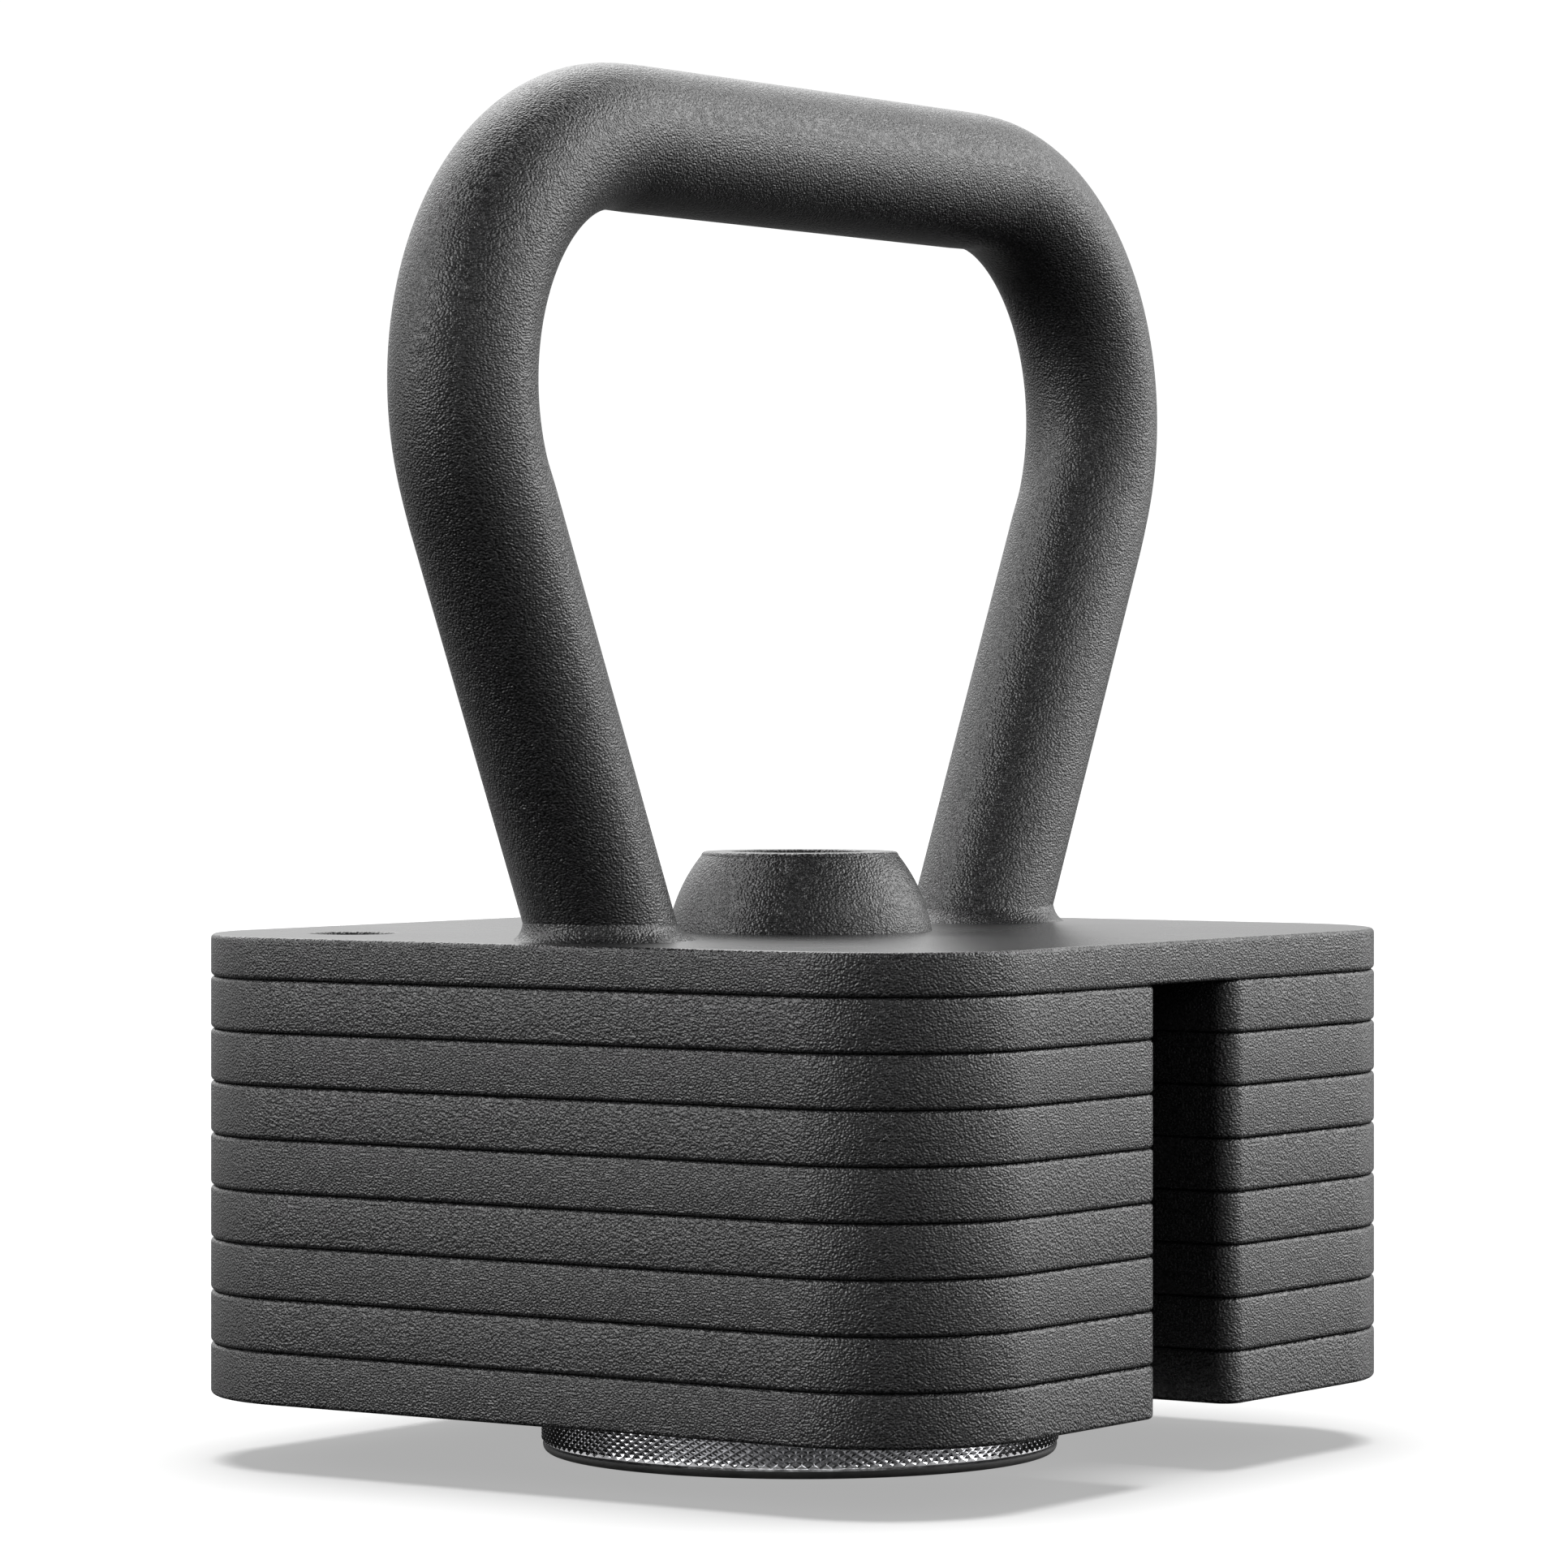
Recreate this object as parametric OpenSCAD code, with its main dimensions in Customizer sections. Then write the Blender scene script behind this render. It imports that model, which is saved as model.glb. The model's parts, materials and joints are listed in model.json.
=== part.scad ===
// Adjustable plate-loaded kettlebell.
// A round-bar handle and a domed hub are welded to a base plate. Slotted plates slide in below it
// around a central screw, and a knurled knob on the screw's lower end clamps them from underneath.
// +Z is up and the handle lies in the XZ plane. The plate slots open towards -Y.
// The origin is on the screw's axis, at the surface that the knob's pad stands on.

/* [Weight plates] */
// Width of the square plates, along X
plate_w = 180; // [150:1:220]
// Depth of the square plates, along Y
plate_d = 179; // [150:1:220]
// Radius of the plates' corners, seen from above
plate_corner_r = 30.3; // [15:0.1:40]
// Height that one plate takes up in the stack
plate_pitch = 10; // [8:0.1:14]
// Bevel along the outer edges of the plates and the base plate
edge_bevel = 0.6; // [0.2:0.1:1.5]
// Radius of the corners where a plate's slot meets its edge
mouth_r = 4.3; // [1:0.1:8]
// Room on each side of the screw in a plate's slot
slot_clear = 0.8; // [0.4:0.1:3]

/* [Base plate] */
// Thickness of the base plate under the handle
base_t = 8; // [6:0.5:16]
// Diameter of the holes in the base plate's rear corners
corner_hole_d = 16.3; // [6:0.1:20]
// Distance from the base plate's left or right side to the centre of a corner hole
corner_hole_side = 27.5; // [22:0.5:32]
// Distance from the base plate's rear side to the centre of a corner hole
corner_hole_rear = 28.5; // [22:0.5:32]

/* [Handle] */
// Diameter of the round bar that the handle is bent from
bar_d = 27.6; // [22:0.1:36]
// Height of the grip's centre line above the base plate
grip_rise = 149.6; // [120:0.1:190]
// Distance from the base plate's sides to the centre of the handle's feet
foot_inset = 25.5; // [20:0.1:32]
// Angle of the legs, outwards from vertical
leg_lean = 25.3; // [12:0.1:30]
// Bend radius of the upper corners, to the bar's centre line
bend_r = 47.1; // [38:0.1:58]
// Loss of diameter where the bar is bent
bend_thinning = 0.3; // [0.2:0.1:1]
// Leg length of the fillet weld around each foot
weld_leg = 3.6; // [2:0.1:5]

/* [Hub] */
// Diameter of the dome where it meets the base plate
dome_d = 51.3; // [46:0.1:60]
// Height of the dome above the base plate
dome_h = 15.3; // [12:0.1:20]
// Radius of the dome's curved side
dome_side_r = 31.9; // [28:0.1:40]
// Height above the base plate at which the curved side is at its widest
dome_side_z = -5.3; // [-8:0.1:-2]
// Bevel around the dome's top edge
dome_rim_bevel = 0.6; // [0.2:0.1:1.2]
// Room around the screw in the dome's top hole
dome_hole_clear = 1.2; // [0.5:0.1:2.5]

/* [Screw and bush] */
// Outside diameter of the lock screw
screw_d = 24; // [18:0.5:29]
// Height of the screw's end above the base plate
screw_rise = 11; // [8:0.5:12]
// Wall of the threaded bush around the screw
bush_wall = 5; // [3:0.5:6]
// Height of the bush above the base plate
bush_rise = 5; // [2:0.5:6]
// Width of the step between the screw and its spigot in the knob
spigot_step = 2; // [1:0.5:3]

/* [Knob] */
// Diameter of the knob over the knurl
knob_d = 100.4; // [80:0.1:130]
// Thickness of the metal knob
knob_t = 9.75; // [8:0.25:14]
// Bevel at the knob's upper edge
knob_bevel = 0.5; // [0.2:0.1:1.5]
// Thickness of the pad under the knob
pad_t = 1.5; // [1:0.1:4]
// Set-back of the pad from the knurl
pad_setback = 0.3; // [0:0.1:1]
// Width of the pad ring
pad_w = 20; // [10:1:25]
// Thickness of the clamping washer
washer_t = 1.5; // [1:0.1:3]
// Diameter of the clamping washer
washer_d = 60; // [46:1:75]

/* [Knob fastening] */
// Shank diameter of the bolt that holds the knob on the screw
bolt_d = 10; // [6:1:12]
// Head diameter of that bolt
bolt_head_d = 26; // [24:1:30]
// Head height of that bolt
bolt_head_t = 2.8; // [2:0.1:4]
// Length of the bolt inside the screw
bolt_reach = 16; // [10:1:24]
// Width across the flats of the bolt's socket
socket_af = 6; // [4:1:6]
// Depth of the bolt's socket
socket_depth = 2; // [1:0.1:2]
// Diameter of the pin that keys the knob to the screw
pin_d = 4; // [3:0.5:5]

/* [Clearances] */
// Gap between neighbouring plates
stack_gap = 0.1; // [0.05:0.01:0.3]
// Gap between faces that turn on each other
face_gap = 0.05; // [0.03:0.01:0.1]
// Radial clearance of a running fit
run_clear = 0.05; // [0.02:0.01:0.1]
// Gap around the bolt head in its recess
head_gap = 0.5; // [0.3:0.1:1]

/* [Hidden] */
PLATE_COUNT = 8;
$fn = 96;
SLACK = 1; // how far a cutting shape runs past what it cuts

// Levels above the floor
knob_top_z = pad_t + knob_t;
washer_z = knob_top_z + face_gap;
stack_z = washer_z + washer_t;
base_z = stack_z + PLATE_COUNT * plate_pitch;
deck_z = base_z + base_t;
recess_z = pad_t + bolt_head_t + face_gap;

// Round sizes
bar_r = bar_d / 2;
screw_r = screw_d / 2;
slot_r = screw_r + slot_clear;
bush_r = screw_r + bush_wall;
spigot_r = screw_r - spigot_step;
dome_hole_r = screw_r + dome_hole_clear;
pad_r = knob_d / 2 - pad_setback;

// Handle path: straight leg, bend and straight grip, the same on both sides of X = 0
foot_x = plate_w / 2 - foot_inset;
leg_len = (grip_rise - bend_r * (1 + sin(leg_lean))) / cos(leg_lean);
bend_x = foot_x + leg_len * sin(leg_lean) - bend_r * cos(leg_lean);
bend_z = deck_z + grip_rise - bend_r;

// The dome's side is an arc about this distance from the axis
dome_arc_x = dome_d / 2 - sqrt(pow(dome_side_r, 2) - pow(dome_side_z, 2));

powder_black = [0.09, 0.09, 0.095];
dark_chrome = [0.30, 0.30, 0.31];
plain_steel = [0.55, 0.56, 0.58];
rubber_black = [0.04, 0.04, 0.04];

// Disc on the origin with a bevel along both edges
module bevelled_disc(r, t, bevel) {
    rotate_extrude()
        polygon([[0, 0], [r - bevel, 0], [r, bevel], [r, t - bevel], [r - bevel, t], [0, t]]);
}

// Bar along Y, w wide and t high, with a bevel along its four long edges
module bevelled_bar(w, len, t, bevel) {
    h = w / 2;
    translate([0, len / 2, 0]) rotate([90, 0, 0]) linear_extrude(len)
        polygon([[-h + bevel, 0], [h - bevel, 0], [h, bevel], [h, t - bevel], [h - bevel, t],
            [-h + bevel, t], [-h, t - bevel], [-h, bevel]]);
}

// Square slab with round corners and bevelled outer edges
module slab(t) {
    corner_x = plate_w / 2 - plate_corner_r;
    corner_y = plate_d / 2 - plate_corner_r;
    bevelled_bar(plate_w, 2 * corner_y, t, edge_bevel);
    rotate([0, 0, 90]) bevelled_bar(plate_d, 2 * corner_x, t, edge_bevel);
    for (x = [-corner_x, corner_x], y = [-corner_y, corner_y])
        translate([x, y, 0]) bevelled_disc(plate_corner_r, t, edge_bevel);
}

// Outline of a plate's slot: round inner end, straight walls and a rounded mouth
module slot_outline() {
    mouth_x = slot_r + mouth_r;
    mouth_y = -plate_d / 2;
    circle(r = slot_r);
    translate([-slot_r, mouth_y - SLACK]) square([2 * slot_r, -mouth_y + SLACK]);
    difference() {
        translate([-mouth_x, mouth_y - SLACK]) square([2 * mouth_x, mouth_r + SLACK]);
        for (x = [-mouth_x, mouth_x]) translate([x, mouth_y + mouth_r]) circle(r = mouth_r);
    }
}

// Hole for the pin that sits half in the screw's spigot and half in the knob
module pin_shape() {
    translate([spigot_r, 0, recess_z]) cylinder(d = pin_d, h = knob_top_z - recess_z);
}

module base_plate() {
    hole_x = plate_w / 2 - corner_hole_side;
    hole_y = plate_d / 2 - corner_hole_rear;
    color(powder_black) translate([0, 0, base_z]) difference() {
        slab(base_t);
        translate([0, 0, -SLACK]) cylinder(r = bush_r, h = base_t + 2 * SLACK);
        for (x = [-hole_x, hole_x])
            translate([x, hole_y, -SLACK]) cylinder(d = corner_hole_d, h = base_t + 2 * SLACK);
    }
}

// Moves its children to the centre of the right bend and turns them from the XY to the XZ plane
module at_bend() {
    translate([bend_x, 0, bend_z]) rotate([90, 0, 0]) children();
}

// Right leg of the handle, run on below the deck so that it can be cut flat there
module leg() {
    run_on = bar_d;
    at_bend() rotate([0, 0, -leg_lean]) translate([bend_r, 0, 0]) rotate([90, 0, 0])
        cylinder(d = bar_d, h = leg_len + run_on);
}

// Right bend, a little thinner than the straight bar and run into it by a small angle
module bend() {
    lap = 0.5;
    at_bend() rotate_extrude(angle = 90 + leg_lean + 2 * lap, start = -leg_lean - lap)
        translate([bend_r, 0]) circle(d = bar_d - bend_thinning);
}

module handle_loop() {
    reach = 2 * plate_w;
    color(powder_black) difference() {
        union() {
            for (turn = [0, 180]) rotate([0, 0, turn]) {
                leg();
                bend();
            }
            translate([-bend_x, 0, bend_z + bend_r]) rotate([0, 90, 0])
                cylinder(d = bar_d, h = 2 * bend_x);
        }
        translate([-reach / 2, -reach / 2, deck_z - reach]) cube(reach);
    }
}

// Cone-shaped fillet weld around the right foot, cut to the leg that it holds
module foot_weld() {
    run_in = 0.8; // how far the cone's top reaches into the leg
    color(powder_black) difference() {
        translate([foot_x, 0, deck_z])
            cylinder(r1 = bar_r + weld_leg, r2 = bar_r - run_in, h = weld_leg + run_in);
        leg();
    }
}

module right_foot_weld() {
    foot_weld();
}

module left_foot_weld() {
    rotate([0, 0, 180]) foot_weld();
}

module hub_dome() {
    rim_r = dome_arc_x + sqrt(pow(dome_side_r, 2) - pow(dome_h - dome_side_z, 2));
    color(powder_black) translate([0, 0, deck_z]) rotate_extrude() difference() {
        intersection() {
            translate([dome_arc_x, dome_side_z]) circle(r = dome_side_r);
            polygon([[0, 0], [dome_d, 0], [dome_d, dome_h - dome_rim_bevel],
                [rim_r + dome_rim_bevel / 2, dome_h - dome_rim_bevel],
                [rim_r - dome_rim_bevel / 2, dome_h], [0, dome_h]]);
        }
        translate([0, -SLACK]) square([bush_r, bush_rise + SLACK]);
        translate([0, -SLACK]) square([dome_hole_r, dome_h + 2 * SLACK]);
    }
}

module threaded_bush() {
    bush_h = base_t + bush_rise;
    color(plain_steel) translate([0, 0, base_z]) difference() {
        cylinder(r = bush_r, h = bush_h);
        translate([0, 0, -SLACK]) cylinder(r = screw_r + run_clear, h = bush_h + 2 * SLACK);
    }
}

module lock_screw() {
    tip_bevel = 1.5;
    screw_top_z = deck_z + screw_rise;
    color(plain_steel) difference() {
        rotate_extrude() polygon([[0, recess_z], [spigot_r, recess_z], [spigot_r, knob_top_z],
            [screw_r, knob_top_z], [screw_r, screw_top_z - tip_bevel],
            [screw_r - tip_bevel, screw_top_z], [0, screw_top_z]]);
        translate([0, 0, recess_z - SLACK]) cylinder(d = bolt_d, h = bolt_reach + SLACK);
        pin_shape();
    }
}

module drive_pin() {
    color(plain_steel) pin_shape();
}

module retaining_bolt() {
    head_z = recess_z - bolt_head_t;
    color(plain_steel) difference() {
        union() {
            translate([0, 0, head_z]) cylinder(d = bolt_head_d, h = bolt_head_t);
            translate([0, 0, recess_z]) cylinder(d = bolt_d, h = bolt_reach);
        }
        translate([0, 0, head_z - SLACK])
            cylinder(d = socket_af / cos(30), h = socket_depth + SLACK, $fn = 6);
    }
}

module knob_disc() {
    knob_r = knob_d / 2;
    color(dark_chrome) difference() {
        rotate_extrude() polygon([[0, pad_t], [knob_r, pad_t], [knob_r, knob_top_z - knob_bevel],
            [knob_r - knob_bevel, knob_top_z], [0, knob_top_z]]);
        cylinder(r = spigot_r, h = knob_top_z + SLACK);
        cylinder(d = bolt_head_d + 2 * head_gap, h = recess_z);
        pin_shape();
    }
}

module knob_pad() {
    color(rubber_black) rotate_extrude() {
        translate([pad_r - pad_w, 0]) square([pad_w - pad_t, pad_t]);
        intersection() {
            translate([pad_r - pad_t, pad_t]) circle(r = pad_t);
            translate([pad_r - pad_t, 0]) square(pad_t);
        }
    }
}

module clamp_washer() {
    color(plain_steel) translate([0, 0, washer_z]) difference() {
        cylinder(d = washer_d, h = washer_t);
        translate([0, 0, -SLACK]) cylinder(r = screw_r + run_clear, h = washer_t + 2 * SLACK);
    }
}

// Plate 1 is the lowest one
module weight_plate(number) {
    plate_t = plate_pitch - stack_gap;
    color(powder_black) difference() {
        translate([0, 0, stack_z + (number - 1) * plate_pitch + stack_gap / 2]) slab(plate_t);
        translate([0, 0, stack_z]) linear_extrude(PLATE_COUNT * plate_pitch) slot_outline();
    }
}

base_plate();
handle_loop();
left_foot_weld();
right_foot_weld();
hub_dome();
threaded_bush();
lock_screw();
drive_pin();
retaining_bolt();
knob_disc();
knob_pad();
clamp_washer();
weight_plate(1);  // weight_plate_1
weight_plate(2);  // weight_plate_2
weight_plate(3);  // weight_plate_3
weight_plate(4);  // weight_plate_4
weight_plate(5);  // weight_plate_5
weight_plate(6);  // weight_plate_6
weight_plate(7);  // weight_plate_7
weight_plate(8);  // weight_plate_8
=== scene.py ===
"""Adjustable plate-loaded kettlebell: visible pieces, materials, light and camera.

Places and outer sizes come from the CAD nodes' boxes and the record. Radii, angles, clearances and
small details are written here, with the CAD's values. Lengths are in metres.
"""
import json
import math

import bmesh
import bpy
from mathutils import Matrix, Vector


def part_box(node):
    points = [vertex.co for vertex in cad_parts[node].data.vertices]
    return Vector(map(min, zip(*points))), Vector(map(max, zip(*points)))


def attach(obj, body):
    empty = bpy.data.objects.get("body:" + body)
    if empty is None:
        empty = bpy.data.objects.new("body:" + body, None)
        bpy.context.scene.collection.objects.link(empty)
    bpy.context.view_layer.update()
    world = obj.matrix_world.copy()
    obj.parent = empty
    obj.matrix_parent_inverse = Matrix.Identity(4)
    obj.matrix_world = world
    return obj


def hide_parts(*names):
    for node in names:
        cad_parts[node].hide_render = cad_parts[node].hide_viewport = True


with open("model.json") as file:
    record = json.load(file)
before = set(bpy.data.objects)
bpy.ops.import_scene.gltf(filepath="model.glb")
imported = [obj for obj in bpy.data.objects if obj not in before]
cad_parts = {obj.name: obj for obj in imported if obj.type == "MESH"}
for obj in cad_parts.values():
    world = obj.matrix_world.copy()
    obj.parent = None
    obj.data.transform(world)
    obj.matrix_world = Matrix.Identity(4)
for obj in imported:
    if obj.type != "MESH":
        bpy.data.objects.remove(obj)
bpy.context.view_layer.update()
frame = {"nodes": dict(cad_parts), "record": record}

MM = 0.001
PLATES = sorted(node for node in frame["nodes"] if node.startswith("weight_plate_"))

# ---------------------------------------------------------------- sizes from the frame


def mount(name):
    """The record's mount of that name."""
    return next(m for m in frame["record"]["mounts"] if m["name"] == name)


def box_size(node):
    low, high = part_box(node)
    return high - low


plate_size = box_size(PLATES[0])
plate_corner_r = 30.3 * MM
plate_edge_r = 0.85 * MM
base_edge_r = 0.9 * MM
plate_mouth_r = 4.3 * MM
deck_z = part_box("base_plate")[1].z

screw_r = box_size("lock_screw").x / 2
slot_clearance = 0.8 * MM
slot_r = screw_r + slot_clearance
bush_r = box_size("threaded_bush").x / 2

bar_r = box_size("handle_loop").y / 2
bend_thinning = 0.15 * MM
bend_bar_r = bar_r - bend_thinning
bend_r = 47.1 * MM
leg_lean = math.radians(25.3)
grip_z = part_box("handle_loop")[1].z - bar_r
foot_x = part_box("right_foot_weld")[0].x + box_size("right_foot_weld").x / 2
grip_rise = grip_z - deck_z
leg_len = (grip_rise - bend_r * (1 + math.sin(leg_lean))) / math.cos(leg_lean)
bend_x = foot_x + leg_len * math.sin(leg_lean) - bend_r * math.cos(leg_lean)

dome_r = box_size("hub_dome").x / 2
dome_top_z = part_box("hub_dome")[1].z
dome_side_r = 31.9 * MM
dome_hole_clearance = 1.2 * MM
dome_hole_r = screw_r + dome_hole_clearance

knob_low, knob_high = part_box("knob_disc")
knob_r = box_size("knob_disc").x / 2
pad_low, pad_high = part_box("knob_pad")
pad_r = box_size("knob_pad").x / 2

# ---------------------------------------------------------------- mesh helpers


def new_object(name, bm, body, nodes, material, sharp_angle=40):
    """A piece from a bmesh. It rides on a body, stands for nodes and takes a slot's finish."""
    bmesh.ops.recalc_face_normals(bm, faces=bm.faces)
    for face in bm.faces:
        face.smooth = True
    limit = math.radians(sharp_angle)
    for edge in bm.edges:
        edge.smooth = len(edge.link_faces) == 2 and edge.calc_face_angle(0) < limit
    mesh = bpy.data.meshes.new(name)
    bm.to_mesh(mesh)
    bm.free()
    mesh.materials.append(material)
    obj = bpy.data.objects.new(name, mesh)
    bpy.context.scene.collection.objects.link(obj)
    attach(obj, body)
    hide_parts(*nodes)


def join_rings(bm, rings):
    """Quads between neighbouring closed rings of equally many vertices."""
    for low, high in zip(rings, rings[1:]):
        count = len(low)
        for i in range(count):
            j = (i + 1) % count
            bm.faces.new((low[i], low[j], high[j], high[i]))


def cap(bm, *loops):
    """Fills the flat area between the loops, the first of which is the outer one."""
    edges = []
    for loop in loops:
        for i, vert in enumerate(loop):
            edges.append(bm.edges.get((vert, loop[(i + 1) % len(loop)])))
    bmesh.ops.triangle_fill(bm, use_beauty=True, use_dissolve=False, edges=edges)


def arc(centre, radius, start, end, count):
    """Points on an arc, with angles in degrees."""
    points = []
    for i in range(count + 1):
        a = math.radians(start + (end - start) * i / count)
        points.append((centre[0] + radius * math.cos(a), centre[1] + radius * math.sin(a)))
    return points


def with_supports(points, longest=20 * MM, support=0.4 * MM):
    """Adds a point near both ends of each long straight run, which keeps its shading flat."""
    out = []
    for i, p in enumerate(points):
        q = points[(i + 1) % len(points)]
        out.append(p)
        run = math.dist(p, q)
        if run > longest:
            t = support / run
            out.append((p[0] + (q[0] - p[0]) * t, p[1] + (q[1] - p[1]) * t))
            out.append((q[0] + (p[0] - q[0]) * t, q[1] + (p[1] - q[1]) * t))
    return out


def edge_profile(z0, z1, radius, steps=5, rim=0.3 * MM):
    """(height, inset) pairs up a slab's side: flat rim, quarter round, side, quarter round, rim.

    The rim keeps the shading of the large flat faces flat.
    """
    quarter = [math.radians(90 * i / steps) for i in range(steps + 1)]
    low = [(z0, radius + rim)]
    low += [(z0 + radius * (1 - math.cos(a)), radius * (1 - math.sin(a))) for a in quarter]
    high = [(z1 - (z - z0), inset) for z, inset in reversed(low)]
    return low + high


def corner_arcs(inset, steps=40):
    """The slab's four round corners from the one at +X -Y, counter-clockwise from above."""
    x = plate_size.x / 2 - plate_corner_r
    y = plate_size.y / 2 - plate_corner_r
    r = plate_corner_r - inset
    return [arc((x, -y), r, -90, 0, steps), arc((x, y), r, 0, 90, steps),
            arc((-x, y), r, 90, 180, steps), arc((-x, -y), r, 180, 270, steps)]


def slotted_outline(inset):
    """A weight plate's outline: round corners, rounded slot mouth and round slot end."""
    mouth = (slot_r + plate_mouth_r, -plate_size.y / 2 + plate_mouth_r)
    mouth_arc_r = plate_mouth_r - inset
    points = arc(mouth, mouth_arc_r, 180, 270, 14)
    for corner in corner_arcs(inset):
        points += corner
    points += arc((-mouth[0], mouth[1]), mouth_arc_r, 270, 360, 14)
    points += arc((0, 0), slot_r + inset, 180, 0, 32)
    return with_supports(points)


def plain_outline(inset):
    """The base plate's outline."""
    return with_supports([p for corner in corner_arcs(inset) for p in corner])


def circle_outline(centre, radius):
    """An outline that widens as it is inset, for a hole."""
    return lambda inset: arc(centre, radius + inset, 0, 360, 64)[:-1]


def slab(bm, outlines, z0, z1, edge_r):
    """A slab from z0 to z1 with rounded edges. The first outline is outside, the rest are holes."""
    bottoms, tops = [], []
    for outline in outlines:
        rings = [[bm.verts.new((x, y, z)) for x, y in outline(inset)]
                 for z, inset in edge_profile(z0, z1, edge_r)]
        join_rings(bm, rings)
        bottoms.append(rings[0])
        tops.append(rings[-1])
    cap(bm, *bottoms)
    cap(bm, *tops)


def on_axis(turn, r, z):
    """The point at radius r and height z, that share of a turn round the Z axis."""
    a = 2 * math.pi * turn
    return (r * math.cos(a), r * math.sin(a), z)


def lathe(bm, profile, steps=160):
    """Turns a closed (radius, height) outline about the Z axis."""
    rings = []
    for i in range(steps):
        rings.append([bm.verts.new(on_axis(i / steps, r, z)) for r, z in profile])
    rings.append(rings[0])
    join_rings(bm, rings)


def rounded(points, radii, steps=6):
    """A closed (radius, height) outline with rounded corners. A radius of 0 keeps one sharp."""
    out = []
    for i, (p, r) in enumerate(zip(points, radii)):
        if r == 0:
            out.append(p)
            continue
        here, before = Vector(p), Vector(points[i - 1])
        after = Vector(points[(i + 1) % len(points)])
        a, b = (before - here).normalized(), (after - here).normalized()
        half = a.angle(b) / 2
        reach = r / math.tan(half)
        start, end = here + a * reach, here + b * reach
        centre = here + (a + b).normalized() * (r / math.sin(half))
        for k in range(steps + 1):
            way = start.lerp(end, k / steps) - centre
            out.append(tuple(centre + way.normalized() * r))
    return out


# ---------------------------------------------------------------- materials


class Shader:
    """Short forms for building a node material."""

    def __init__(self, name):
        self.material = bpy.data.materials.new(name)
        self.material.use_nodes = True
        self.tree = self.material.node_tree
        self.surface = self.tree.nodes["Principled BSDF"]
        self.place = self.node("ShaderNodeTexCoord").outputs["Object"]

    def node(self, kind, **settings):
        made = self.tree.nodes.new(kind)
        for key, value in settings.items():
            setattr(made, key, value)
        return made

    def put(self, value, socket):
        if isinstance(value, bpy.types.NodeSocket):
            self.tree.links.new(value, socket)
        else:
            socket.default_value = value

    def set(self, **values):
        """Sets inputs of the surface shader; underscores stand for spaces."""
        for key, value in values.items():
            self.put(value, self.surface.inputs[key.replace("_", " ")])

    def product(self, a, b):
        made = self.node("ShaderNodeMath", operation="MULTIPLY")
        self.put(a, made.inputs[0])
        self.put(b, made.inputs[1])
        return made.outputs[0]

    def placed(self, scale, shift=(0, 0, 0)):
        """Object coordinates, scaled and then shifted."""
        made = self.node("ShaderNodeMapping")
        self.put(self.place, made.inputs["Vector"])
        made.inputs["Location"].default_value = shift
        made.inputs["Scale"].default_value = scale
        return made.outputs["Vector"]

    def noise(self, scale, detail=2.0, roughness=0.5, vector=None):
        made = self.node("ShaderNodeTexNoise")
        self.put(vector or self.place, made.inputs["Vector"])
        made.inputs["Scale"].default_value = scale
        made.inputs["Detail"].default_value = detail
        made.inputs["Roughness"].default_value = roughness
        return made.outputs["Fac"]

    def ramp(self, value, low, high, to_low=0.0, to_high=1.0):
        """Maps low..high to to_low..to_high, held at the ends."""
        made = self.node("ShaderNodeMapRange")
        for socket, number in zip(made.inputs, (value, low, high, to_low, to_high)):
            self.put(number, socket)
        return made.outputs["Result"]

    def tint(self, fac, low, high):
        made = self.node("ShaderNodeMix", data_type="RGBA")
        self.put(fac, made.inputs["Factor"])
        self.put((*low, 1), made.inputs[6])
        self.put((*high, 1), made.inputs[7])
        return made.outputs[2]

    def bump(self, height, distance, strength=1.0):
        made = self.node("ShaderNodeBump")
        made.inputs["Distance"].default_value = distance
        self.put(strength, made.inputs["Strength"])
        self.put(height, made.inputs["Height"])
        self.put(made.outputs["Normal"], self.surface.inputs["Normal"])


def powder_coat(name, seed=0.0, flat_top=False):
    """Matte black powder coat: fine wrinkle grain with painted shade in its pits and paler crests,
    and slight mottling.

    With flat_top, the grain fades out on faces that look straight up.
    """
    s = Shader(name)
    where = s.placed((1, 1, 1.2), shift=(seed, seed * 0.7, seed * 1.3))
    wrinkle = s.noise(2250, detail=0.4, vector=where)
    patches = s.noise(500, detail=1, vector=where)
    mottle = s.noise(28, detail=3, vector=where)
    crests = s.ramp(wrinkle, 0.25, 0.75)
    height = s.product(crests, s.ramp(patches, 0.3, 0.7, 0.8, 1.2))
    strength = 1.0
    if flat_top:
        facing = s.node("ShaderNodeSeparateXYZ")
        s.put(s.node("ShaderNodeNewGeometry").outputs["Normal"], facing.inputs[0])
        strength = s.ramp(facing.outputs["Z"], 0.9, 0.99, 1.0, 0.02)
    s.bump(height, 0.145 * MM, strength)
    # Painted shade: the colour follows the wrinkle height, darker in the pits and paler on the
    # crests, times a real random mottle.
    pit_shade_and_mottle = s.product(crests, s.ramp(mottle, 0.3, 0.7, 0.8, 1.0))
    s.set(Base_Color=s.tint(pit_shade_and_mottle, (0.002, 0.002, 0.002), (0.026, 0.026, 0.027)),
          Roughness=s.ramp(mottle, 0.3, 0.7, 0.24, 0.29),
          Specular_IOR_Level=0.5)
    return s.material


def dark_chrome():
    """Dark chrome, a little duller in patches."""
    s = Shader("dark_chrome")
    dirt = s.noise(900, detail=3)
    shade = s.tint(s.ramp(dirt, 0.35, 0.7), (0.45, 0.45, 0.46), (0.75, 0.75, 0.77))
    s.set(Base_Color=shade,
          Metallic=1.0, Roughness=s.ramp(dirt, 0.3, 0.75, 0.10, 0.20))
    s.bump(s.noise(2600, detail=1), 0.01 * MM)
    return s.material


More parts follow.
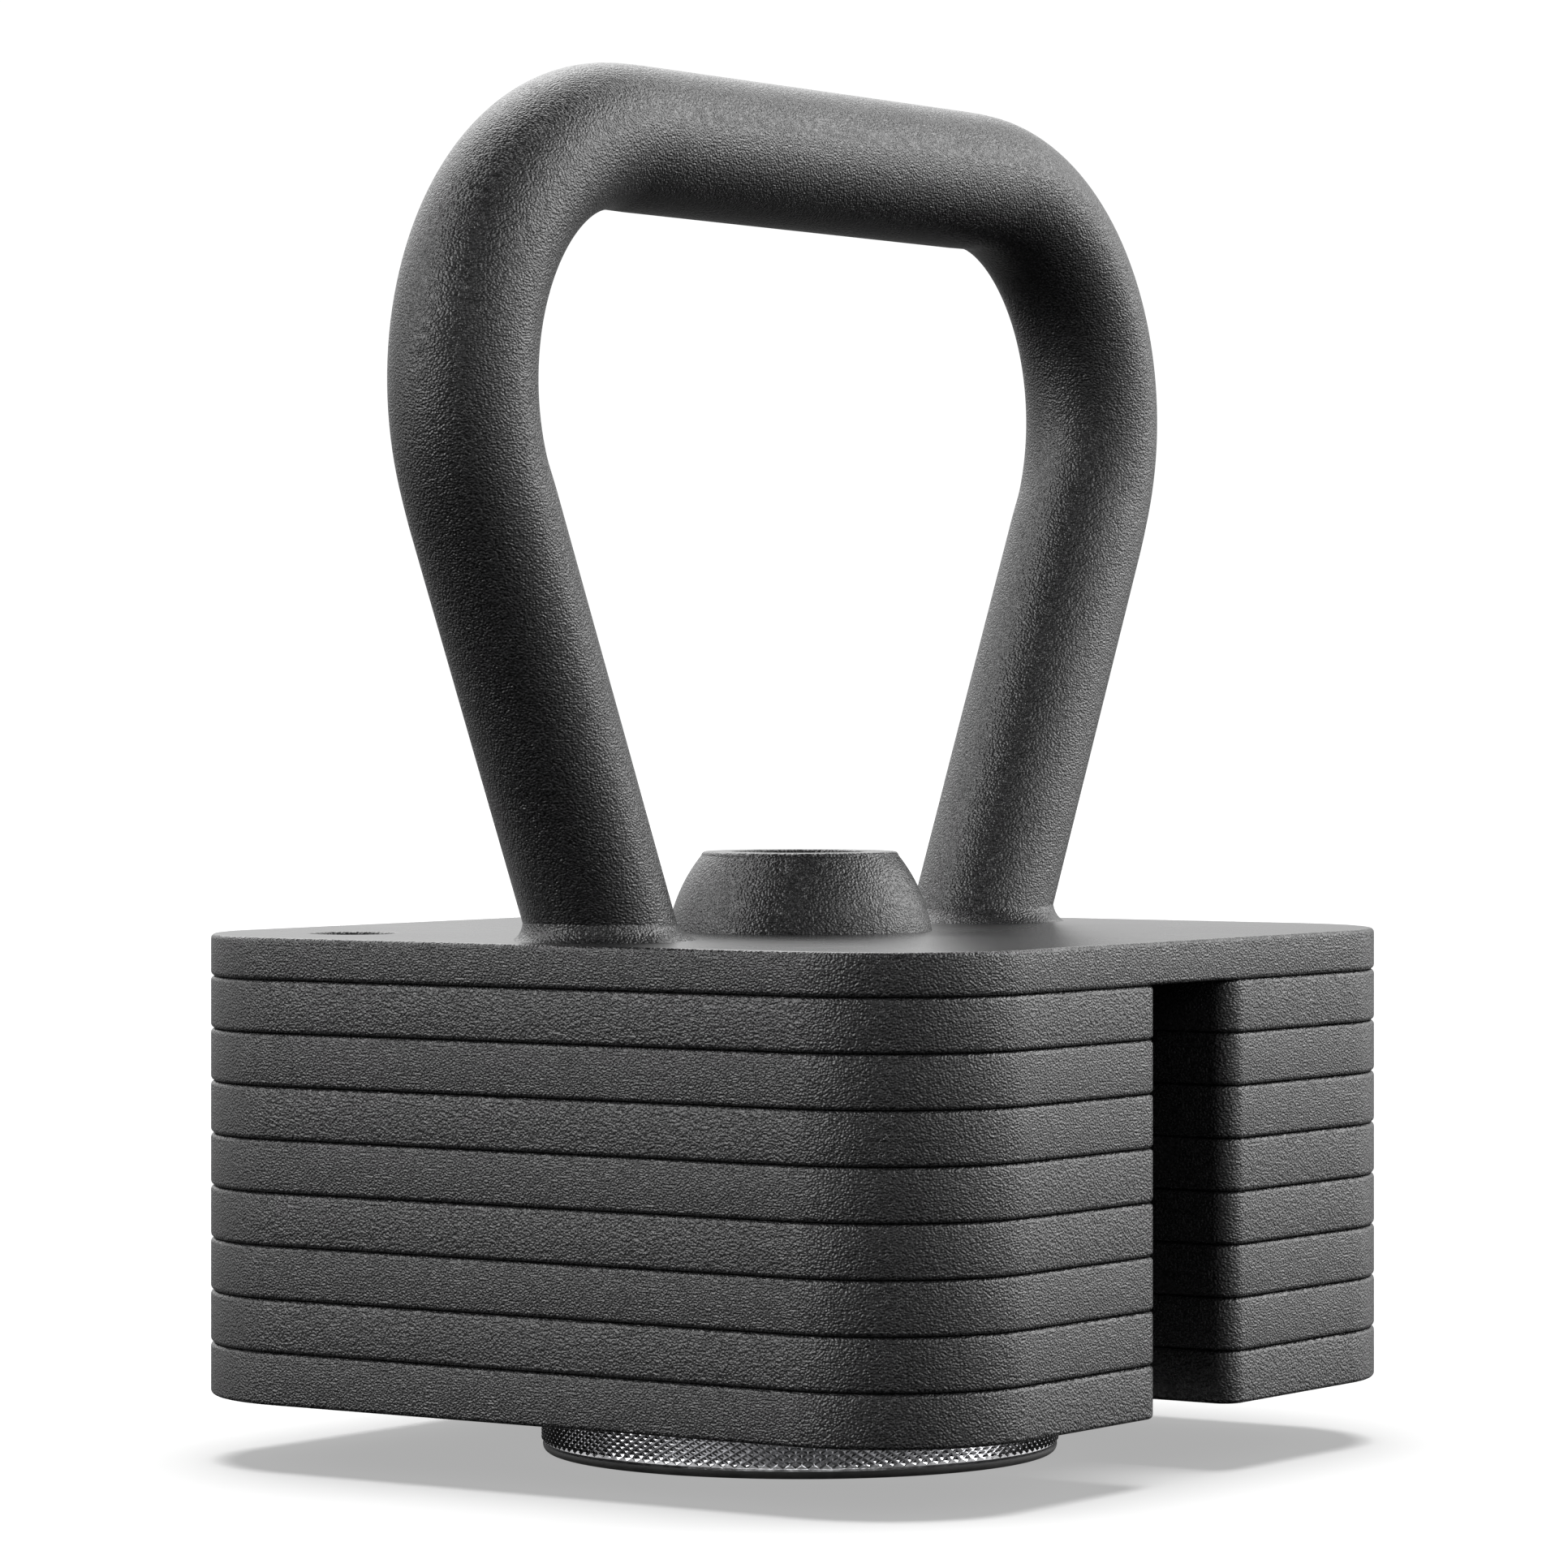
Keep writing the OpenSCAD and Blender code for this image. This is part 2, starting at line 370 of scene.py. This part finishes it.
def turned_steel():
    """Plain turned steel with fine rings around the axis."""
    s = Shader("turned_steel")
    rings = s.noise(160, detail=4, vector=s.placed((0.4, 0.4, 60)))
    s.set(Base_Color=s.tint(rings, (0.34, 0.34, 0.35), (0.56, 0.56, 0.57)),
          Metallic=1.0, Roughness=s.ramp(rings, 0.3, 0.7, 0.24, 0.38))
    s.bump(rings, 0.02 * MM)
    return s.material


def pad_rubber():
    """Smooth black rubber with faint dust."""
    s = Shader("pad_rubber")
    dust = s.noise(240, detail=5, roughness=0.65)
    shade = s.tint(s.ramp(dust, 0.3, 0.75), (0.03, 0.03, 0.03), (0.055, 0.055, 0.054))
    s.set(Base_Color=shade,
          Roughness=s.ramp(dust, 0.3, 0.7, 0.42, 0.55))
    s.bump(s.noise(3200, detail=1), 0.01 * MM)
    return s.material


coat = powder_coat("powder_coat")
base_coat = powder_coat("base_coat", seed=0.11, flat_top=True)
chrome = dark_chrome()
steel = turned_steel()
rubber = pad_rubber()

# ---------------------------------------------------------------- plates


def make_plate(number, node):
    bm = bmesh.new()
    low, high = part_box(node)
    slab(bm, [slotted_outline], low.z, high.z, plate_edge_r)
    finish = powder_coat(f"plate_coat_{number}", seed=0.37 * number)
    new_object(f"plate_{number}", bm, node, [node], finish, sharp_angle=25)


def make_base_plate():
    bm = bmesh.new()
    low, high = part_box("base_plate")
    holes = [circle_outline((0, 0), bush_r)]
    for name in ("corner_hole_left", "corner_hole_right"):
        hole = mount(name)
        holes.append(circle_outline(hole["pos_m"][:2], hole["dims"]["r_mm"] * MM))
    slab(bm, [plain_outline] + holes, low.z, high.z, base_edge_r)
    new_object("base_plate_coated", bm, "frame", ["base_plate"], base_coat,
               sharp_angle=25)


for plate_number, plate_node in enumerate(PLATES, 1):
    make_plate(plate_number, plate_node)
make_base_plate()

# ---------------------------------------------------------------- handle


def handle_path():
    """(point, direction) pairs along the right half of the bar's centre line, foot to grip."""
    lean_way = Vector((math.sin(leg_lean), 0, math.cos(leg_lean)))
    foot = Vector((foot_x, 0, deck_z))
    path = []
    first = 1.4 * bar_r * math.tan(leg_lean)
    for i in range(25):
        path.append((foot + lean_way * (first + (leg_len - first) * i / 24), lean_way))
    centre = Vector((bend_x, 0, grip_z - bend_r))
    for i in range(1, 49):
        a = -leg_lean + (math.pi / 2 + leg_lean) * i / 48
        out = Vector((math.cos(a), 0, math.sin(a)))
        path.append((centre + out * bend_r, Vector((-out.z, 0, out.x))))
    for i in range(1, 13):
        path.append((Vector((bend_x * (1 - i / 12), 0, grip_z)), Vector((-1, 0, 0))))
    return path


def bar_radius(point):
    """The bar is a little thinner in its bends, with a gradual change."""
    into_bend = min(point.z - (grip_z - bend_r - bend_r * math.sin(leg_lean)), point.x - bend_x)
    t = min(max(into_bend / (6 * MM) + 0.5, 0), 1)
    t = t * t * (3 - 2 * t)
    return bar_r + (bend_bar_r - bar_r) * t


def bar_ring(point, way, steps, on_deck=False):
    """Points around the bar. On the deck they are slid along the bar until they lie on it."""
    side = Vector((0, 1, 0))
    out = side.cross(way)
    ring = []
    for i in range(steps):
        a = 2 * math.pi * i / steps
        radial = out * math.cos(a) + side * math.sin(a)
        p = point + radial * bar_radius(point)
        if on_deck:
            p = p - way * ((p.z - deck_z) / way.z)
        ring.append(p)
    return ring


def make_handle():
    steps = 128
    path = handle_path()
    rings = [bar_ring(*path[0], steps, on_deck=True)] + [bar_ring(p, w, steps) for p, w in path]
    mirrored = []
    for ring in reversed(rings[:-1]):
        mirrored.append([Vector((-p.x, p.y, p.z)) for p in ring])
    bm = bmesh.new()
    verts = [[bm.verts.new(p) for p in ring] for ring in rings + mirrored]
    join_rings(bm, verts)
    bm.faces.new(verts[0])
    bm.faces.new(verts[-1])
    new_object("handle_bar", bm, "frame", ["handle_loop"], coat, sharp_angle=50)


def make_weld(name, node, side):
    """Fillet weld around a foot: slightly hollow between a line on the leg and one on the deck."""
    steps, rows = 180, 8
    top_sink, root_sink, fullness = 0.05 * MM, 0.3 * MM, 0.62
    way = Vector((math.sin(leg_lean), 0, math.cos(leg_lean)))
    foot = Vector((foot_x, 0, deck_z))
    bm = bmesh.new()
    rings = [[] for _ in range(rows + 1)]
    inner = []
    for i, p in enumerate(bar_ring(foot, way, steps, on_deck=True)):
        a = 2 * math.pi * i / steps
        ripple = 1 + 0.015 * math.sin(5 * a + 1) + 0.012 * math.sin(11 * a + 2 * side)
        outward = Vector((p.x - foot.x, p.y, 0)).normalized()
        width = 2.9 * MM * ripple
        height = (3.1 + 0.4 * math.cos(a)) * MM * ripple
        outer = p + outward * width
        top = p + way * (height / way.z) - outward * top_sink
        hollow = p.lerp((outer + top) / 2, fullness)
        for k in range(rows + 1):
            t = k / rows
            q = outer * (1 - t) ** 2 + hollow * 2 * t * (1 - t) + top * t * t
            rings[k].append(bm.verts.new((side * q.x, q.y, q.z)))
        under = p - outward * root_sink
        inner.append(bm.verts.new((side * under.x, under.y, under.z)))
    join_rings(bm, rings + [inner, rings[0]])
    new_object(name, bm, "frame", [node], coat, sharp_angle=60)


make_handle()
make_weld("weld_right", "right_foot_weld", 1)
make_weld("weld_left", "left_foot_weld", -1)

# ---------------------------------------------------------------- dome


def make_dome():
    """Domed hub: curved side, rounded rim and a hole that shows the bush below."""
    height = dome_top_z - deck_z
    rim_round, lip_round = 0.9 * MM, 0.5 * MM
    arc_z = -5.3 * MM  # the side's arc is centred below the deck
    arc_x = dome_r - math.sqrt(dome_side_r ** 2 - arc_z ** 2)
    side = []
    for i in range(17):
        z = (height - 0.7 * MM) * i / 16
        side.append((arc_x + math.sqrt(dome_side_r ** 2 - (z - arc_z) ** 2), deck_z + z))
    rim_r = side[-1][0]
    rim = arc((rim_r - 0.85 * MM, dome_top_z - rim_round), rim_round, 15, 90, 8)
    lip = arc((dome_hole_r + lip_round, dome_top_z - lip_round), lip_round, 90, 180, 5)
    bush_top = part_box("threaded_bush")[1].z
    profile = side + rim + lip + [(dome_hole_r, bush_top), (bush_r, bush_top), (bush_r, deck_z)]
    bm = bmesh.new()
    lathe(bm, profile)
    new_object("dome", bm, "frame", ["hub_dome"], coat)


make_dome()

# ---------------------------------------------------------------- screw and knob


def make_screw():
    """Lock screw with a helical thread above a plain collar, and a bevelled tip."""
    low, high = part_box("lock_screw")
    pitch, depth, around, rows_per_turn = 3 * MM, 1.5 * MM, 72, 12
    collar_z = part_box("clamp_washer")[1].z + 2 * MM
    tip = 1.5 * MM
    core_r = screw_r - depth
    journal_r = core_r - 0.5 * MM
    bm = bmesh.new()
    rows = int((high.z - tip - collar_z) / (pitch / rows_per_turn))
    rings = []
    for r, z in ((0.5 * core_r, low.z), (journal_r, low.z), (journal_r, knob_high.z),
                 (screw_r, knob_high.z), (screw_r, collar_z)):
        rings.append([(r, z)] * around)
    for k in range(1, rows + 1):
        z = collar_z + (high.z - tip - collar_z) * k / rows
        fade = min(1.0, k / rows_per_turn)
        ring = []
        for i in range(around):
            phase = (z / pitch - i / around) % 1
            valley = max(0.0, 1 - abs(phase - 0.5) / 0.44)
            ring.append((screw_r - depth * valley * fade, z))
        rings.append(ring)
    rings.append([(screw_r - tip, high.z)] * around)
    verts = [[bm.verts.new(on_axis(i / around, r, z)) for i, (r, z) in enumerate(ring)]
             for ring in rings]
    join_rings(bm, verts)
    bm.faces.new(verts[0])
    bm.faces.new(verts[-1])
    new_object("lock_screw_threaded", bm, "knob", ["lock_screw"], steel,
               sharp_angle=45)


def make_knob():
    """Knob with a diamond knurl: staggered flat-topped pyramids with V grooves between them.

    crest_x and crest_z are half the flat top's width and height, in columns and rows.
    """
    around, row_h, depth = 270, 0.667 * MM, 0.5 * MM
    crest_x, crest_z = 0.30, 0.18
    land = 0.5 * MM
    rows = int((knob_high.z - knob_low.z - 2 * land) / row_h)
    row_h = (knob_high.z - knob_low.z - 2 * land) / rows
    bm = bmesh.new()

    def point(column, row, r):
        return bm.verts.new(on_axis(column / around, r, knob_low.z + land + row * row_h))

    inner_r = knob_r - depth
    grooves = {(i, k): point(i, k, inner_r) for k in range(rows + 1) for i in range(around)
               if (i + k) % 2 == 0 or k in (0, rows)}
    for k in range(1, rows):
        for i in range((k + 1) % 2, around, 2):
            sides = [grooves[(i + 1) % around, k], grooves[i, k + 1],
                     grooves[(i - 1) % around, k], grooves[i, k - 1]]
            crest = [point(i + crest_x, k, knob_r), point(i, k + crest_z, knob_r),
                     point(i - crest_x, k, knob_r), point(i, k - crest_z, knob_r)]
            bm.faces.new(crest)
            for n in range(4):
                bm.faces.new((sides[n], sides[n - 3], crest[n - 3], crest[n]))
    for k, inner in ((0, 1), (rows, rows - 1)):
        for i in range((inner + 1) % 2 + 1, around + 1, 2):
            left, right = grooves[i - 1, k], grooves[(i + 1) % around, k]
            middle, far = grooves[i % around, k], grooves[i % around, inner]
            bm.faces.new((left, middle, far))
            bm.faces.new((middle, right, far))
    lattice = [[grooves[i, k] for i in range(around)] for k in (0, rows)]

    def plain_rings(*sizes):
        return [[bm.verts.new(on_axis(i / around, r, z)) for i in range(around)] for r, z in sizes]

    shaft_r = screw_r - 2 * MM
    recess_r = box_size("retaining_bolt").x / 2 + 0.5 * MM
    recess_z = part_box("lock_screw")[0].z
    under = plain_rings((shaft_r, knob_high.z), (shaft_r, recess_z), (recess_r, recess_z),
                        (recess_r, knob_low.z), (inner_r - 0.3 * MM, knob_low.z))
    over = plain_rings((inner_r, knob_high.z - land / 2), (inner_r - land, knob_high.z))
    join_rings(bm, under + [lattice[0]])
    join_rings(bm, [lattice[-1]] + over + [under[0]])
    new_object("knob_knurled", bm, "knob", ["knob_disc"], chrome,
               sharp_angle=12)


def make_pad():
    """Rubber ring under the knob with a large round at its outer edge."""
    inner_r = pad_r - 20 * MM
    corners = [(inner_r, pad_low.z), (pad_r, pad_low.z), (pad_r, pad_high.z), (inner_r, pad_high.z)]
    bm = bmesh.new()
    lathe(bm, rounded(corners, [0.4 * MM, 1.35 * MM, 0, 0]), steps=200)
    new_object("pad_ring", bm, "knob", ["knob_pad"], rubber)


make_screw()
make_knob()
make_pad()
for plain_node in ("threaded_bush", "drive_pin", "retaining_bolt", "clamp_washer"):
    frame["nodes"][plain_node].material_slots[0].material = steel

# ---------------------------------------------------------------- floor, light and camera

VIEW_WAY = Vector((0.8251, 0.5650, 0.0)).normalized()
VIEW_RIGHT = Vector((VIEW_WAY.y, -VIEW_WAY.x, 0.0))
CAMERA_BACK, CAMERA_SIDE, CAMERA_HEIGHT = 1.2317, -0.0031, 0.1445

# Each soft box: azimuth from straight behind the object, clockwise from above, and elevation, both
# in degrees, then strength. The strengths were fitted to the tones of the photograph's view.
SOFT_BOX_FOCUS = 20.0
SOFT_BOXES = (
    (-22, 0, 0.11), (44, 0, 1.14), (-44, 0, 0.14), (66, 0, 0.32), (-66, 0, 1.05), (88, 0, 0.70),
    (-110, 0, 0.24), (-132, 0, 0.51), (154, 0, 0.08), (-154, 0, 0.31), (180, 0, 0.25),
    (0, 25, 1.45), (22, 25, 0.60), (-22, 25, 1.13), (-44, 25, 1.45), (66, 25, 7.72),
    (-88, 25, 0.07), (110, 25, 4.65), (-110, 25, 8.29), (132, 25, 0.43), (-132, 25, 1.21),
    (154, 25, 1.52), (-22, 50, 2.67), (-44, 50, 0.71), (0, 50, 2.39),
    (0, -25, 0.15), (120, -25, 0.71), (-120, -25, 0.15),
)


def make_camera():
    data = bpy.data.cameras.new("camera")
    data.sensor_width = 36
    data.lens = 145.55
    data.shift_y = -0.0504
    data.clip_start = 0.05
    data.clip_end = 60
    camera = bpy.data.objects.new("camera", data)
    bpy.context.scene.collection.objects.link(camera)
    camera.location = (-CAMERA_BACK * VIEW_WAY + CAMERA_SIDE * VIEW_RIGHT
                       + Vector((0, 0, CAMERA_HEIGHT)))
    camera.rotation_euler = VIEW_WAY.to_track_quat("-Z", "Y").to_euler()
    bpy.context.scene.camera = camera


def make_flat(name, bm, base, glow):
    """Floor or backdrop: matte, glows a little by itself, and is not reflected by the object."""
    mesh = bpy.data.meshes.new(name)
    bm.to_mesh(mesh)
    bm.free()
    s = Shader(name)
    s.set(Base_Color=(base, base, base, 1), Roughness=1.0, Specular_IOR_Level=0.0,
          Emission_Color=(1, 1, 1, 1), Emission_Strength=glow)
    mesh.materials.append(s.material)
    obj = bpy.data.objects.new(name, mesh)
    bpy.context.scene.collection.objects.link(obj)
    obj.visible_diffuse = False
    obj.visible_glossy = False
    return obj


def make_sun(name, target, angle, energy):
    """A wide soft light, pointing down, that acts on one object. The object's collection follows."""
    data = bpy.data.lights.new(name, "SUN")
    data.angle = math.radians(angle)
    data.energy = energy
    sun = bpy.data.objects.new(name, data)
    bpy.context.scene.collection.objects.link(sun)
    lit = bpy.data.collections.new(name + "_lit")
    lit.objects.link(target)
    sun.light_linking.receiver_collection = lit
    return sun, lit


def make_stage():
    """Pale floor with a soft shadow, white wall all round, and light from below on the knob."""
    half = 12
    bm = bmesh.new()
    for x, y in ((-half, -half), (half, -half), (half, half), (-half, half)):
        bm.verts.new((x, y, 0))
    bm.faces.new(bm.verts)
    floor = make_flat("floor", bm, base=0.06, glow=0.41)
    make_sun("overhead", floor, angle=42, energy=36)

    bm = bmesh.new()
    bmesh.ops.create_uvsphere(bm, u_segments=48, v_segments=24, radius=half * 0.9)
    wall = make_flat("wall", bm, base=0.0, glow=1.05)
    wall.visible_shadow = False

    knob = bpy.data.objects["knob_knurled"]
    bounce, lit = make_sun("floor_bounce", knob, angle=50, energy=4.0)
    below = -VIEW_WAY * 0.25 + Vector((0, 0, -1))  # a little towards the camera
    bounce.rotation_euler = below.to_track_quat("Z", "Y").to_euler()
    bounce.light_linking.blocker_collection = lit


def make_world():
    """Soft boxes all round the object, as smooth bright patches of the surroundings."""
    world = bpy.data.worlds.new("studio")
    bpy.context.scene.world = world
    world.use_nodes = True
    tree = world.node_tree
    background = tree.nodes["Background"]
    background.inputs["Color"].default_value = (1, 1, 1, 1)
    place = tree.nodes.new("ShaderNodeTexCoord")
    total = None
    for azimuth, elevation, strength in SOFT_BOXES:
        a, e = math.radians(azimuth), math.radians(elevation)
        toward = (VIEW_WAY * math.cos(a) + VIEW_RIGHT * math.sin(a)) * math.cos(e)
        dot = tree.nodes.new("ShaderNodeVectorMath")
        dot.operation = "DOT_PRODUCT"
        dot.inputs[1].default_value = toward + Vector((0, 0, math.sin(e)))
        tree.links.new(place.outputs["Generated"], dot.inputs[0])
        power = tree.nodes.new("ShaderNodeMath")
        power.operation = "MULTIPLY_ADD"
        power.inputs[1].default_value = SOFT_BOX_FOCUS
        power.inputs[2].default_value = math.log(strength) - SOFT_BOX_FOCUS
        tree.links.new(dot.outputs["Value"], power.inputs[0])
        patch = tree.nodes.new("ShaderNodeMath")
        patch.operation = "EXPONENT"
        tree.links.new(power.outputs[0], patch.inputs[0])
        if total is None:
            total = patch.outputs[0]
            continue
        add = tree.nodes.new("ShaderNodeMath")
        add.operation = "ADD"
        tree.links.new(total, add.inputs[0])
        tree.links.new(patch.outputs[0], add.inputs[1])
        total = add.outputs[0]
    tree.links.new(total, background.inputs["Strength"])


make_camera()
make_stage()
make_world()
bpy.context.scene.view_settings.view_transform = "Standard"
